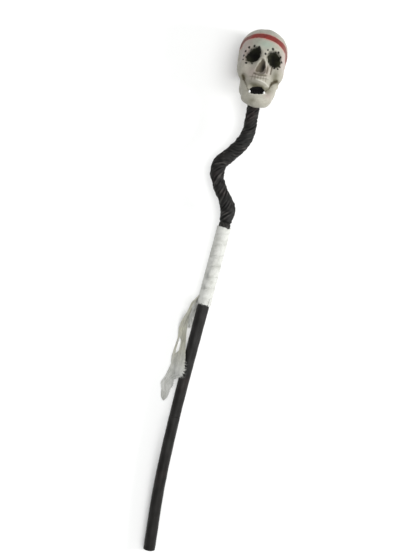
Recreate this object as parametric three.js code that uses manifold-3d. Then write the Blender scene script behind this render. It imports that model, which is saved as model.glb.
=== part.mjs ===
// Ritual staff, a moulded costume staff: a skull on a bent and twisted black shaft, with a strip of
// gauze wound below the bends. It lies on its back as it does when loose: the face looks up, and the
// skull's back and the rim of the foot rest on the surface.
// Millimetres, +Z up, +Y from the foot to the skull. Origin under the middle of the whole staff.

import * as THREE from "three";
import { mergeVertices } from "three/addons/utils/BufferGeometryUtils.js";
import Module from "manifold-3d";

const wasm = await Module();
wasm.setup();

const FULL_TURN = 2 * Math.PI;
const UP = new THREE.Vector3(0, 0, 1);
const PART_GAP = 0.3;

// Middle of the whole staff, measured as all places here are from the middle of the foot's end face
const STAFF_MIDDLE = { x: 7, y: 598 };

// Centre line of the shaft seen from above: distance from the foot, then offset to the right
const ROUTE = [
  [0, 0], [150, -8], [310, -7], [550, 2.5], [738, 11.3], [770, 12], [789, 12], [808, 2.5],
  [836, -17], [864, -29], [887, -28], [914, -7.5], [941, 11], [966, 19.5], [1002, 19.5], [1040, 18],
  [1102, 17],
];

// Height of the centre line: the shaft rises evenly from the foot to the neck
const FOOT_RADIUS = 13.4;
const NECK_HEIGHT = 52;
const NECK_Y = 1035;

// Straight sections: where they meet and how thick they are
const SHAFT_SIDES = 20;
const STRAIGHT_STEP = 60;
const PLUG_JOINT_Y = 310;
const UPPER_JOINT_Y = 738;
const LOWER_RADII = [[0, FOOT_RADIUS], [PLUG_JOINT_Y, 12.7]];
const MIDDLE_RADII = [[PLUG_JOINT_Y, 12.4], [560, 13.7], [UPPER_JOINT_Y, 13.7]];

// Bent section: its radius, its ridges, which climb to the right, and the collar at its lower end
const BENT_TOP_Y = 1098;
const BENT_RADII = [
  [738, 13], [757, 13], [763, 13.6], [778, 14.8], [791, 17.4], [804, 15], [820, 13.8], [850, 13.8],
  [882, 16.4], [900, 15.2], [945, 15.4], [975, 14.4], [1010, 13.6], [1098, 13.6],
];
const RIDGES = 8;
const SIDES_PER_RIDGE = 3;
const RIDGE_DEPTH = 1.6;
const RIDGE_SHARE_OUTSIDE = 0.4;
const RIDGES_FROM_Y = 760;
const RIDGES_TO_Y = 1062;
const TWIST_LEAD = 84;
const TWIST_STEP = 8.4;

// Gauze: the wound sleeve, whose turns swell a little, and its two tails
const WRAP_FROM_Y = 571;
const WRAP_TO_Y = 750;
const WRAP_RADIUS = 15.6;
const WRAP_SWELL = 0.5;
const WRAP_PITCH = 25;
const WRAP_STEP = 10;
const TAIL_THICKNESS = 2.4;

// Each tail, station by station: distance from the foot, then [offset, height] across the strip
const LONG_TAIL = [
  [588, [-9.9, 43.7], [-12, 38], [-12.1, 33], [-10.5, 28.3]],
  [580, [-15, 41], [-16.5, 37], [-16, 31], [-13, 27]],
  [570, [-24, 33], [-21.5, 32], [-19, 28], [-15, 24]],
  [551, [-28.5, 22], [-25.5, 21], [-22, 19], [-19, 17]],
  [526, [-37, 13], [-32, 12], [-27, 11], [-22.5, 11]],
  [507, [-40.5, 7], [-34, 6], [-28, 6], [-21.5, 7]],
  [484, [-38.5, 3], [-31, 2], [-24, 3], [-19, 12]],
  [462, [-41.5, 1.8], [-29, 6], [-21, 28], [-14.5, 42]],
  [440, [-43, 1.8], [-30, 6], [-22, 28], [-10, 46]],
  [420, [-41.5, 1.8], [-31, 5], [-23, 30], [-6.5, 47]],
  [404, [-45, 1.8], [-32, 4], [-22.5, 24], [-12.5, 45]],
  [396, [-47, 1.8], [-37, 3], [-29, 11], [-23, 27]],
  [388, [-50, 1.8], [-41, 1.8], [-33, 3], [-26, 12]],
  [374, [-55, 1.8], [-45, 1.8], [-35, 1.8], [-26, 3]],
  [360, [-50.5, 1.8], [-43, 1.8], [-36, 1.8], [-30, 1.8]],
  [346, [-48, 1.8], [-43, 1.8], [-38, 1.8], [-33, 1.8]],
  [337, [-42.5, 1.8], [-41, 1.8], [-39.5, 1.8], [-38, 1.8]],
];
const SHORT_TAIL = [
  [590, [-11.8, 32.5], [-8.9, 25.9]],
  [576, [-19, 30], [-13.5, 21]],
  [548, [-21, 20], [-15, 11]],
  [528, [-23, 12], [-19.5, 5]],
  [510, [-21, 5], [-19.5, 3]],
];

// Skull: the middle of its braincase. Its forms are in its own axes from that middle: to the right,
// towards the crown, out of the face. Its surface is found on a grid with smaller cells at the face.
const SKULL_AT = new THREE.Vector3(16.5, 1142.5, 61.5);
const SKULL_GRID = [
  { low: -64, high: 64, cell: 5.2 },
  { low: -134, high: 62, cell: 5, coarseFrom: 0, coarseTo: 64, coarseCell: 8.4 },
  { low: -73, high: 66, cell: 5.2, coarseFrom: -73, coarseTo: 8, coarseCell: 8.8 },
];
const GROUND_SIZE = 300;
const NECK_SOCKET_RADIUS = 14.4;
const NECK_SOCKET_Y = [1000, 1100];

// Forms that are joined, in order. Mirrored ones stand on both sides of the plane at shift.
const SKULL_MASSES = [
  { ellipsoid: [[-1.4, 5, -4], [53.5, 48.5, 60]], blend: 0 },
  { ellipsoid: [[-1.4, -18, -9], [53, 44, 53]], blend: 10 },
  { ellipsoid: [[0, -10, 24], [42, 34, 32]], blend: 14 },
  { capsule: [[14, -3, 48], [33, -10, 39], 6, 5], mirror: true, blend: 12 },
  { ellipsoid: [[32, -48, 22], [18, 23, 24]], mirror: true, blend: 14 },
  { capsule: [[40, -44, 18], [45, -36, -10], 8, 6], mirror: true, blend: 10 },
  { ellipsoid: [[0, -36, 38], [15, 28, 20]], blend: 14 },
  { ellipsoid: [[0, -61, 28], [28, 25, 29]], blend: 14 },
  { ellipsoid: [[1.6, -72, 8], [34, 34, 24]], blend: 8 },
  { capsule: [[1.6, -30, -9], [1.6, -84, -9.5], 24, 19], blend: 8 },
  { ellipsoid: [[0, -105, 28], [30.5, 20, 26]], shift: 4, blend: 4 },
  { capsule: [[20, -103, 33], [34, -70, 19], 12, 8], mirror: true, shift: 3, blend: 5 },
  { capsule: [[20, -104, 20], [27, -89, -4], 13, 9], mirror: true, shift: 3, blend: 8 },
  { capsule: [[-16, -84, 28], [19, -84, 28], 11, 11], blend: 6 },
  { ellipsoid: [[32, -76, 5], [8, 20, 16]], mirror: true, shift: 2, blend: 6 },
  { capsule: [[28, -89, -4], [35, -60, -8], 9, 7], mirror: true, shift: 2, blend: 8 },
];

// Forms that are hollowed out: eye sockets, nose, temples, mouth and the seam between the jaws
const SKULL_HOLLOWS = [
  { ellipsoid: [[23.5, -19, 52], [17.5, 15.5, 23]], turn: -0.5, mirror: true, blend: 8 },
  { capsule: [[-1, -31, 58], [0.5, -48, 56], 5, 10], blend: 5 },
  { ellipsoid: [[63, -12, 26], [15, 24, 22]], mirror: true, blend: 8 },
  { capsule: [[-5, -94, 52], [8.5, -91.5, 52], 7.5, 7.5], blend: 2 },
  { capsule: [[-5, -94, 40], [8.5, -91.5, 40], 7.5, 7.5], blend: 4 },
  { capsule: [[34, -66, 41], [25, -82, 49], 4.5, 4.5], mirror: true, blend: 5 },
  { capsule: [[25, -82, 49], [16, -92, 53], 4.5, 4], mirror: true, shift: 1, blend: 5 },
];

const clamp = (value, low, high) => Math.min(Math.max(value, low), high);

// Value at y on a list of [y, value] pairs
function valueAt(pairs, y) {
  const next = clamp(pairs.findIndex(([limit]) => limit >= y), 1, pairs.length - 1);
  const [lowY, low] = pairs[next - 1];
  const [highY, high] = pairs[next];
  return low + (high - low) * clamp((y - lowY) / (highY - lowY), 0, 1);
}

// Centre line of the whole shaft. The foot's lowest facet touches the surface at its rim.
function shaftCurve() {
  const slope = Math.atan((NECK_HEIGHT - FOOT_RADIUS) / NECK_Y);
  const footHeight = FOOT_RADIUS * Math.cos(Math.PI / SHAFT_SIDES) * Math.cos(slope);
  const rise = (NECK_HEIGHT - footHeight) / NECK_Y;
  const points = ROUTE.map(([y, x]) => new THREE.Vector3(x, y, footHeight + rise * y));
  return new THREE.CatmullRomCurve3(points, false, "centripetal");
}

const SHAFT = shaftCurve();
const SHAFT_LENGTH = SHAFT.getLength();
const HALVINGS = 30;

// How far along the shaft, from 0 to 1, its centre line reaches y
function shareAt(y) {
  let low = 0;
  let high = 1;
  for (let step = 0; step < HALVINGS; step += 1) {
    const middle = (low + high) / 2;
    if (SHAFT.getPointAt(middle).y < y) {
      low = middle;
    } else {
      high = middle;
    }
  }
  return low;
}

// Rings of points round the shaft between two distances; form(y, angle) gives each point's radius
function ringsAlong(fromY, toY, step, sides, form, twist = () => 0) {
  const first = shareAt(fromY);
  const last = shareAt(toY);
  const count = Math.max(1, Math.round((last - first) * SHAFT_LENGTH / step));
  return Array.from({ length: count + 1 }, (_, station) => {
    const share = first + (last - first) * station / count;
    const centre = SHAFT.getPointAt(share);
    const along = SHAFT.getTangentAt(share);
    const right = new THREE.Vector3().crossVectors(along, UP).normalize();
    const up = new THREE.Vector3().crossVectors(right, along);
    return Array.from({ length: sides }, (__, side) => {
      const angle = FULL_TURN * (side + 0.5) / sides;
      const turned = angle + twist(share * SHAFT_LENGTH);
      const radius = form(centre.y, angle);
      return centre.clone()
        .addScaledVector(up, radius * Math.cos(turned))
        .addScaledVector(right, -radius * Math.sin(turned));
    });
  });
}

function meshData(points, faces) {
  const geometry = new THREE.BufferGeometry().setFromPoints(points);
  geometry.setIndex(faces);
  geometry.computeVertexNormals();
  return geometry;
}

function middleOf(points) {
  const sum = points.reduce((total, point) => total.add(point), new THREE.Vector3());
  return sum.divideScalar(points.length);
}

// Two triangles for four corners, cut along the shorter diagonal
function cutQuad(points, a, b, c, d) {
  const shorter = points[a].distanceTo(points[c]) < points[b].distanceTo(points[d]);
  return shorter ? [a, b, c, a, c, d] : [a, b, d, b, c, d];
}

// Closed mesh through rings of points: capped at both ends, or joined from the last to the first
function loft(rings, joined = false) {
  const sides = rings[0].length;
  const points = rings.flat();
  const faces = [];
  for (let ring = 0; ring < rings.length - (joined ? 0 : 1); ring += 1) {
    const next = (ring + 1) % rings.length;
    for (let side = 0; side < sides; side += 1) {
      const after = (side + 1) % sides;
      faces.push(...cutQuad(points, ring * sides + side, next * sides + side,
        next * sides + after, ring * sides + after));
    }
  }
  const caps = joined ? [] : [[0, 1], [rings.length - 1, 0]];
  for (const [ring, isFirst] of caps) {
    const hub = points.length;
    points.push(middleOf(rings[ring]));
    for (let side = 0; side < sides; side += 1) {
      const a = ring * sides + side;
      const b = ring * sides + (side + 1) % sides;
      faces.push(...(isFirst ? [hub, a, b] : [hub, b, a]));
    }
  }
  return meshData(points, faces);
}

function toSolid(geometry) {
  return new wasm.Manifold(new wasm.Mesh({
    numProp: 3,
    vertProperties: new Float32Array(geometry.attributes.position.array),
    triVerts: new Uint32Array(geometry.index.array),
  }));
}

function toGeometry(solid) {
  const mesh = solid.getMesh();
  const points = Array.from({ length: mesh.vertProperties.length / 3 }, (_, index) => (
    new THREE.Vector3().fromArray(mesh.vertProperties, 3 * index)
  ));
  return meshData(points, Array.from(mesh.triVerts));
}

// A straight section of the shaft, between the gaps at its two ends
function straightSection(fromY, toY, radii) {
  return loft(ringsAlong(fromY, toY, STRAIGHT_STEP, SHAFT_SIDES, (y) => valueAt(radii, y)));
}

// The bent section. Its ridges are corners of the ring, which turns evenly along the shaft, so that
// they run as helices. The collar below them and the end in the skull are plain.
function bentSection(fromY) {
  const sides = RIDGES * SIDES_PER_RIDGE;
  const form = (y, angle) => {
    const ridged = y > RIDGES_FROM_Y && y < RIDGES_TO_Y;
    const ridge = Math.abs(Math.sin(RIDGES * angle / 2)) + RIDGE_SHARE_OUTSIDE - 1;
    return valueAt(BENT_RADII, y) + (ridged ? RIDGE_DEPTH * ridge : 0);
  };
  const twist = (travelled) => -FULL_TURN * travelled / TWIST_LEAD;
  return loft(ringsAlong(fromY, BENT_TOP_Y, TWIST_STEP, sides, form, twist));
}

// Strip of cloth through its stations, each a line of [offset, height] points across the strip
function tail(stations) {
  const rings = stations.map(([y, ...line]) => {
    const points = line.map(([x, z]) => new THREE.Vector3(x, y, z));
    const sideOf = (sign) => points.map((point, index) => {
      const before = points[Math.max(index - 1, 0)];
      const after = points[Math.min(index + 1, points.length - 1)];
      const across = after.clone().sub(before).normalize();
      const out = new THREE.Vector3(-across.z, 0, across.x);
      return point.clone().addScaledVector(out, sign * TAIL_THICKNESS / 2);
    });
    return [...sideOf(1), ...sideOf(-1).reverse()];
  });
  return loft(rings);
}

// The wound gauze: a sleeve round the shaft, open at both ends, with its two tails
function gauze() {
  const outer = (y, angle) => {
    const turn = FULL_TURN * y / WRAP_PITCH - angle;
    return WRAP_RADIUS + WRAP_SWELL * Math.sin(turn);
  };
  const inner = (y) => valueAt(MIDDLE_RADII, y) + PART_GAP / Math.cos(Math.PI / SHAFT_SIDES);
  const outside = ringsAlong(WRAP_FROM_Y, WRAP_TO_Y, WRAP_STEP, SHAFT_SIDES, outer);
  const inside = ringsAlong(WRAP_FROM_Y, WRAP_TO_Y, STRAIGHT_STEP, SHAFT_SIDES, inner);
  const sleeve = loft([...outside, ...inside.reverse()], true);
  return toGeometry(toSolid(sleeve).add(toSolid(tail(LONG_TAIL))).add(toSolid(tail(SHORT_TAIL))));
}

// Distance to an ellipsoid, close to the true one near its surface
function ellipsoidDistance([centre, radii], turn, x, u, f) {
  const [dx, du, df] = [x - centre[0], u - centre[1], f - centre[2]];
  const [cos, sin] = [Math.cos(turn), Math.sin(turn)];
  const scaled = new THREE.Vector3(
    (dx * cos + du * sin) / radii[0],
    (du * cos - dx * sin) / radii[1],
    df / radii[2],
  );
  const size = scaled.length();
  const slope = scaled.set(scaled.x / radii[0], scaled.y / radii[1], scaled.z / radii[2]).length();
  return slope > 0 ? size * (size - 1) / slope : -Math.min(...radii);
}

// Distance to a rounded rod that tapers from one radius to the other
function capsuleDistance([from, to, fromRadius, toRadius], x, u, f) {
  const line = new THREE.Vector3(...to).sub(new THREE.Vector3(...from));
  const offset = new THREE.Vector3(x, u, f).sub(new THREE.Vector3(...from));
  const share = clamp(offset.dot(line) / line.lengthSq(), 0, 1);
  return offset.addScaledVector(line, -share).length() - fromRadius - share * (toRadius - fromRadius);
}

function formDistance(form, x, u, f) {
  const shifted = x - (form.shift ?? 0);
  const side = form.mirror ? Math.abs(shifted) : shifted;
  return form.ellipsoid
    ? ellipsoidDistance(form.ellipsoid, form.turn ?? 0, side, u, f)
    : capsuleDistance(form.capsule, side, u, f);
}

// The smaller of two distances, with a rounded fillet of about the blend's size between them
function blended(a, b, blend) {
  const overlap = Math.max(blend - Math.abs(a - b), 0);
  return Math.min(a, b) - (blend > 0 ? overlap * overlap / (4 * blend) : 0);
}

function skullDistance(x, u, f) {
  let distance = Infinity;
  for (const form of SKULL_MASSES) {
    distance = blended(distance, formDistance(form, x, u, f), form.blend);
  }
  for (const form of SKULL_HOLLOWS) {
    distance = -blended(-distance, formDistance(form, x, u, f), form.blend);
  }
  return distance;
}

// Lines of a grid along one axis, with larger cells on its coarse stretch
function gridLines({ low, high, cell, coarseFrom = low, coarseTo = low, coarseCell = cell }) {
  const lines = [low];
  while (lines[lines.length - 1] < high) {
    const last = lines[lines.length - 1];
    lines.push(last + (last >= coarseFrom && last < coarseTo ? coarseCell : cell));
  }
  return lines;
}

// Closed mesh where a distance is zero: one vertex in each cell of a grid that the surface crosses
function surfaceNet(distance, grid) {
  const lines = grid.map(gridLines);
  const strides = [1, lines[0].length, lines[0].length * lines[1].length];
  const stepOf = (index, axis) => Math.floor(index / strides[axis]) % lines[axis].length;
  const pointAt = (index) => lines.map((line, axis) => line[stepOf(index, axis)]);
  const values = Array.from({ length: strides[2] * lines[2].length }, (_, index) => (
    distance(...pointAt(index))
  ));

  // Each edge of the grid that the surface crosses lends its crossing to the four cells round it
  const crossings = new Map();
  const edges = [];
  values.forEach((value, index) => {
    strides.forEach((stride, axis) => {
      const step = stepOf(index, axis);
      if (step + 1 === lines[axis].length || value < 0 === values[index + stride] < 0) {
        return;
      }
      const cell = lines[axis][step + 1] - lines[axis][step];
      const point = new THREE.Vector3(...pointAt(index));
      point.setComponent(axis, lines[axis][step] + cell * value / (value - values[index + stride]));
      const [second, third] = [strides[(axis + 1) % 3], strides[(axis + 2) % 3]];
      const cells = [index, index - second, index - second - third, index - third];
      cells.forEach((key) => crossings.set(key, [...(crossings.get(key) ?? []), point]));
      edges.push(value < 0 ? cells : cells.reverse());
    });
  });
  const vertexOf = new Map();
  const vertices = [];
  crossings.forEach((points, key) => {
    vertexOf.set(key, vertices.length);
    vertices.push(middleOf(points));
  });

  // The four cells round an edge make a quad
  const quads = edges.map((cells) => cells.map((key) => vertexOf.get(key)));
  return meshData(vertices, quads.flatMap((quad) => cutQuad(vertices, ...quad)));
}

// Socket for the shaft's end, along the shaft
function neckSocket() {
  const form = () => NECK_SOCKET_RADIUS;
  return loft(ringsAlong(...NECK_SOCKET_Y, STRAIGHT_STEP, RIDGES * SIDES_PER_RIDGE, form));
}

// The skull, with its flat spot on the surface and its socket
function skull() {
  const head = surfaceNet(skullDistance, SKULL_GRID).translate(...SKULL_AT.toArray());
  const below = new THREE.BoxGeometry(GROUND_SIZE, GROUND_SIZE, GROUND_SIZE);
  below.translate(SKULL_AT.x, SKULL_AT.y, -GROUND_SIZE / 2).deleteAttribute("normal");
  below.deleteAttribute("uv");
  const solid = toSolid(head).subtract(toSolid(mergeVertices(below)));
  return toGeometry(solid.subtract(toSolid(neckSocket())));
}

const black = { color: 0x2b2926, roughness: 0.55, metalness: 0 };
const bone = { color: 0xc4c1b4, roughness: 0.5, metalness: 0 };
const white = { color: 0xdedfd9, roughness: 0.95, metalness: 0 };
const halfGap = PART_GAP / 2;
const PIECES = [
  ["skull", skull(), bone],
  ["upper_shaft", bentSection(UPPER_JOINT_Y + halfGap), black],
  ["middle_shaft", straightSection(PLUG_JOINT_Y + halfGap, UPPER_JOINT_Y - halfGap, MIDDLE_RADII), black],
  ["lower_shaft", straightSection(0, PLUG_JOINT_Y - halfGap, LOWER_RADII), black],
  ["gauze_wrap", gauze(), white],
];

const staff = new THREE.Group();
for (const [name, geometry, finish] of PIECES) {
  const mesh = new THREE.Mesh(geometry, new THREE.MeshStandardMaterial(finish));
  mesh.name = name;
  mesh.position.set(-STAFF_MIDDLE.x, -STAFF_MIDDLE.y, 0);
  staff.add(mesh);
}

export default staff;
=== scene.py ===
import math

import bpy
import numpy as np
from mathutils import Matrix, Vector


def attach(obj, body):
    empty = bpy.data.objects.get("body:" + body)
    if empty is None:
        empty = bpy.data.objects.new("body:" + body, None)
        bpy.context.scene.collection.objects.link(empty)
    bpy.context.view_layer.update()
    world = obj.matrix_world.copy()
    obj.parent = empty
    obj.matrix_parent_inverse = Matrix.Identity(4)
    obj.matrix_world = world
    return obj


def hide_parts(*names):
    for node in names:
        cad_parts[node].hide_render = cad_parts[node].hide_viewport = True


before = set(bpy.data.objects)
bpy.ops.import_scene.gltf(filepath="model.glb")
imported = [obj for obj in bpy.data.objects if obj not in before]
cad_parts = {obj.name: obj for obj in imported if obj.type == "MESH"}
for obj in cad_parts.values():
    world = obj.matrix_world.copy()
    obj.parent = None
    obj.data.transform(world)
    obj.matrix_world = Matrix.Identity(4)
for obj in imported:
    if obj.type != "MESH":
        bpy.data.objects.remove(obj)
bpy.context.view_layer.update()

# Places are in millimetres from the middle of the foot's end face, as in the part, and are put in
# the row frame by place(). Metres come out of it.
STAFF_MIDDLE = (7, 598, 0)
MM = 0.001
TURN = 2 * math.pi


def place(points):
    return (np.asarray(points, float) - STAFF_MIDDLE) * MM


# Shader building

class Shader:
    """A material and short calls for its nodes."""

    def __init__(self, name, roughness, **inputs):
        self.material = bpy.data.materials.new(name)
        self.material.use_nodes = True
        self.nodes = self.material.node_tree.nodes
        self.links = self.material.node_tree.links
        self.surface = self.nodes["Principled BSDF"]
        self.put(self.surface, "Roughness", roughness)
        for key, value in inputs.items():
            self.put(self.surface, key.replace("_", " "), value)

    def put(self, node, key, value):
        socket = node.inputs[key]
        if isinstance(value, bpy.types.NodeSocket):
            self.links.new(value, socket)
        else:
            socket.default_value = value

    def node(self, kind, inputs=(), **settings):
        made = self.nodes.new("ShaderNode" + kind)
        for key, value in settings.items():
            setattr(made, key, value)
        for key, value in dict(inputs).items():
            self.put(made, key, value)
        return made

    def attribute(self, name):
        return self.node("Attribute", attribute_name=name).outputs["Fac"]

    def vector(self, name):
        return self.node("Attribute", attribute_name=name).outputs["Vector"]

    def place(self):
        return self.node("TexCoord").outputs["Object"]

    def stretched(self, vector, scale, turn=(0, 0, 0)):
        return self.node("Mapping", {"Vector": vector, "Scale": scale, "Rotation": turn}).outputs[0]

    def noise(self, vector, scale, detail=4.0, roughness=0.55):
        return self.node("TexNoise", {"Vector": vector, "Scale": scale, "Detail": detail,
                                      "Roughness": roughness}).outputs["Fac"]

    def math(self, operation, a, b=0.0, clamp=False):
        return self.node("Math", {0: a, 1: b}, operation=operation, use_clamp=clamp).outputs[0]

    def span(self, value, low, high, to_low=0.0, to_high=1.0):
        """value from low..high to to_low..to_high, eased and held at the ends"""
        return self.node("MapRange", {"Value": value, "From Min": low, "From Max": high,
                                      "To Min": to_low, "To Max": to_high},
                         interpolation_type="SMOOTHSTEP").outputs[0]

    def mix(self, share, a, b, blend="MIX"):
        made = self.node("Mix", data_type="RGBA", blend_type=blend)
        for index, value in ((0, share), (6, a), (7, b)):
            if isinstance(value, bpy.types.NodeSocket):
                self.links.new(value, made.inputs[index])
            elif index:
                made.inputs[index].default_value = (*value, 1)
            else:
                made.inputs[index].default_value = value
        return made.outputs[2]

    def bump(self, height, distance, strength=1.0, normal=None):
        made = self.node("Bump", {"Height": height, "Distance": distance, "Strength": strength})
        if normal:
            self.put(made, "Normal", normal)
        return made.outputs[0]

    def colour(self, value):
        self.put(self.surface, "Base Color", value)

    def normal(self, value):
        self.put(self.surface, "Normal", value)


# Meshes

def make_piece(name, points, faces, shader, replaces=(), values=(), vectors=(), smooth_to=180):
    mesh = bpy.data.meshes.new(name)
    mesh.from_pydata(np.asarray(points).tolist(), [], [list(map(int, face)) for face in faces])
    for key, data in dict(values).items():
        mesh.attributes.new(key, "FLOAT", "POINT").data.foreach_set("value", np.asarray(data, np.float32))
    for key, data in dict(vectors).items():
        flat = np.asarray(data, np.float32).ravel()
        mesh.attributes.new(key, "FLOAT_VECTOR", "POINT").data.foreach_set("vector", flat)
    mesh.polygons.foreach_set("use_smooth", np.ones(len(mesh.polygons), bool))
    if smooth_to < 180:
        mesh.set_sharp_from_angle(angle=math.radians(smooth_to))
    mesh.materials.append(shader.material)
    mesh.validate()
    mesh.update()
    piece = bpy.data.objects.new(name, mesh)
    bpy.context.scene.collection.objects.link(piece)
    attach(piece, "root")
    if replaces:
        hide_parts(*replaces)
    return piece


def quads(rows, columns, closed):
    """Faces of a grid of points, row by row; closed joins the last column to the first."""
    row, column = np.meshgrid(np.arange(rows - 1), np.arange(columns - (0 if closed else 1)), indexing="ij")
    after = (column + 1) % columns
    return np.stack([row * columns + column, (row + 1) * columns + column,
                     (row + 1) * columns + after, row * columns + after], -1).reshape(-1, 4)


def smoothstep(low, high, value):
    share = np.clip((value - low) / (high - low), 0, 1)
    return share * share * (3 - 2 * share)


def ripples(a, b, seed, count, sizes_a, sizes_b, whole_b=False):
    """Smooth random relief of about unit height over two coordinates."""
    random = np.random.default_rng(seed)
    total = np.zeros(np.broadcast(a, b).shape)
    for _ in range(count):
        wave_a = TURN / random.uniform(*sizes_a) * random.choice((-1, 1))
        wave_b = random.uniform(*sizes_b)
        wave_b = round(wave_b) if whole_b else TURN / wave_b
        total += np.cos(wave_a * a + wave_b * b + random.uniform(0, TURN))
    return total * math.sqrt(2 / count)


# Shaft: the same centre line as the part's

ROUTE = [
    (0, 0), (150, -8), (310, -7), (550, 2.5), (738, 11.3), (770, 12), (789, 12), (808, 2.5),
    (836, -17), (864, -29), (887, -28), (914, -7.5), (941, 11), (966, 19.5), (1002, 19.5), (1040, 18),
    (1102, 17),
]
FOOT_RADIUS, NECK_HEIGHT, NECK_Y, SHAFT_SIDES = 13.4, 52, 1035, 20
PLUG_JOINT_Y, UPPER_JOINT_Y, BENT_TOP_Y, PART_GAP = 310, 738, 1098, 0.3
LOWER_RADII = [(0, 13.4), (310, 12.7)]
MIDDLE_RADII = [(310, 12.4), (560, 13.7), (738, 13.7)]
BENT_RADII = [
    (738, 13), (757, 13), (763, 13.6), (778, 14.8), (791, 17.4), (804, 15), (820, 13.8), (850, 13.8),
    (882, 16.4), (900, 15.2), (945, 15.4), (975, 14.4), (1010, 13.6), (1098, 13.6),
]


def centre_line():
    slope = math.atan((NECK_HEIGHT - FOOT_RADIUS) / NECK_Y)
    foot_height = FOOT_RADIUS * math.cos(math.pi / SHAFT_SIDES) * math.cos(slope)
    rise = (NECK_HEIGHT - foot_height) / NECK_Y
    points = np.array([(x, y, foot_height + rise * y) for y, x in ROUTE])
    ends = np.vstack([2 * points[0] - points[1], points, 2 * points[-1] - points[-2]])
    shares = np.linspace(0, 1, 41)[:-1, None]
    line = []
    for a, b, c, d in zip(ends, ends[1:], ends[2:], ends[3:]):
        before, here, after = (np.linalg.norm(q - p) ** 0.5 for p, q in ((a, b), (b, c), (c, d)))
        leave = ((b - a) / before - (c - a) / (before + here) + (c - b) / here) * here
        arrive = ((c - b) / here - (d - b) / (here + after) + (d - c) / after) * here
        line.append(b + leave * shares + (3 * (c - b) - 2 * leave - arrive) * shares ** 2
                    + (2 * (b - c) + leave + arrive) * shares ** 3)
    return np.vstack([*line, points[-1]])


LINE = centre_line()
TRAVEL = np.concatenate([[0], np.cumsum(np.linalg.norm(np.diff(LINE, axis=0), axis=1))])


def along_shaft(travelled):
    """Centres and directions (along, right, up) at distances travelled from the foot."""
    def at(distance):
        return np.stack([np.interp(distance, TRAVEL, LINE[:, axis]) for axis in range(3)], -1)
    ahead = at(travelled + 1.5) - at(travelled - 1.5)
    ahead /= np.linalg.norm(ahead, axis=-1, keepdims=True)
    right = np.cross(ahead, (0, 0, 1))
    right /= np.linalg.norm(right, axis=-1, keepdims=True)
    return at(travelled), ahead, right, np.cross(right, ahead)


def travelled_at(y):
    return np.interp(y, LINE[:, 1], TRAVEL)


def round_shaft(travelled, angle, radius):
    """Points round the shaft; angle goes from its top to its left side."""
    centre, _, right, up = along_shaft(travelled)
    return centre + radius[..., None] * (np.cos(angle)[..., None] * up - np.sin(angle)[..., None] * right)


def tube(from_y, to_y, step, sides, radius_of, chamfer):
    """A closed tube with chamfered flat ends: points, faces, and the distance and angle of each point."""
    first, last = travelled_at(from_y), travelled_at(to_y)
    stations = np.linspace(first + chamfer, last - chamfer, max(2, round((last - first) / step)))
    stations = np.concatenate([[first], stations, [last]])
    travelled, angle = np.meshgrid(stations, np.arange(sides) * TURN / sides, indexing="ij")
    radius = radius_of(travelled, angle)
    radius[[0, -1]] -= chamfer
    points = round_shaft(travelled, angle, radius).reshape(-1, 3)
    rows = len(stations)
    faces = quads(rows, sides, True)
    hubs = along_shaft(np.array([first, last]))[0]
    ring = np.arange(sides)
    after = (ring + 1) % sides
    top = (rows - 1) * sides
    caps = [(len(points), a, b) for a, b in zip(ring, after)]
    caps += [(len(points) + 1, top + b, top + a) for a, b in zip(ring, after)]
    points = np.vstack([points, hubs])
    travelled = np.append(travelled.ravel(), [first, last])
    return points, [*faces.tolist(), *caps], travelled, np.append(angle.ravel(), [0, 0])


def radius_along(radii):
    heights = [pair[0] for pair in radii]
    values = [pair[1] for pair in radii]
    return lambda travelled: np.interp(np.interp(travelled, TRAVEL, LINE[:, 1]), heights, values)


# Black shaft: bent and twisted section

RIDGES, TWIST_LEAD, RIDGE_DEPTH = 8, 84, 1.6
RIDGES_FROM_Y, COLLAR_TOP_Y, GROOVE_Y = 764, 758, 760.5
COLLAR_RIBS = 24


def wrinkles(travelled, angle, seed, count, rounds, lean):
    """Smooth random relief of about unit height whose lines run along the twist."""
    random = np.random.default_rng(seed)
    total = 0 * travelled
    for _ in range(count):
        number = random.integers(*rounds)
        along = number * TURN / TWIST_LEAD * (1 + random.uniform(-lean, lean))
        total = total + np.cos(number * angle + along * travelled + random.uniform(0, TURN))
    return total * math.sqrt(2 / count)


def folds(travelled, angle):
    """Height of the twisted cloth over the shaft's mean radius."""
    drift = 0.22 * ripples(travelled, angle, 3, 7, (45, 120), (-2, 2), True)
    phase = RIDGES * (angle / TURN + travelled / TWIST_LEAD) + drift
    share = phase - np.floor(phase)
    broad = np.sin(math.pi * share ** 1.3) ** 0.6 - 0.7
    strength = np.clip(0.75 + 0.45 * ripples(travelled, angle, 5, 9, (22, 70), (-2, 2), True), 0.1, 1.6)
    height = RIDGE_DEPTH * broad * strength
    height += 0.42 * wrinkles(travelled, angle, 6, 16, (5, 15), 0.28)
    height += 0.14 * wrinkles(travelled, angle, 8, 20, (15, 34), 0.2)
    return height + 0.3 * ripples(travelled, angle, 7, 12, (14, 45), (-3, 3), True)


def collar_groove(y, angle, width):
    return np.exp(-((y - GROOVE_Y - 1.2 * np.sin(angle + 1)) / width) ** 2)


def bent_radius(travelled, angle):
    y = np.interp(travelled, TRAVEL, LINE[:, 1])
    collar = 1 - smoothstep(COLLAR_TOP_Y, RIDGES_FROM_Y, y)
    ribs = 0.55 * np.cos(COLLAR_RIBS * angle) - 0.3
    relief = np.clip(folds(travelled, angle), -2.2, 2) * (1 - collar) + ribs * collar
    return radius_along(BENT_RADII)(travelled) + relief - 2 * collar_groove(y, angle, 1.9)


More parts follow.
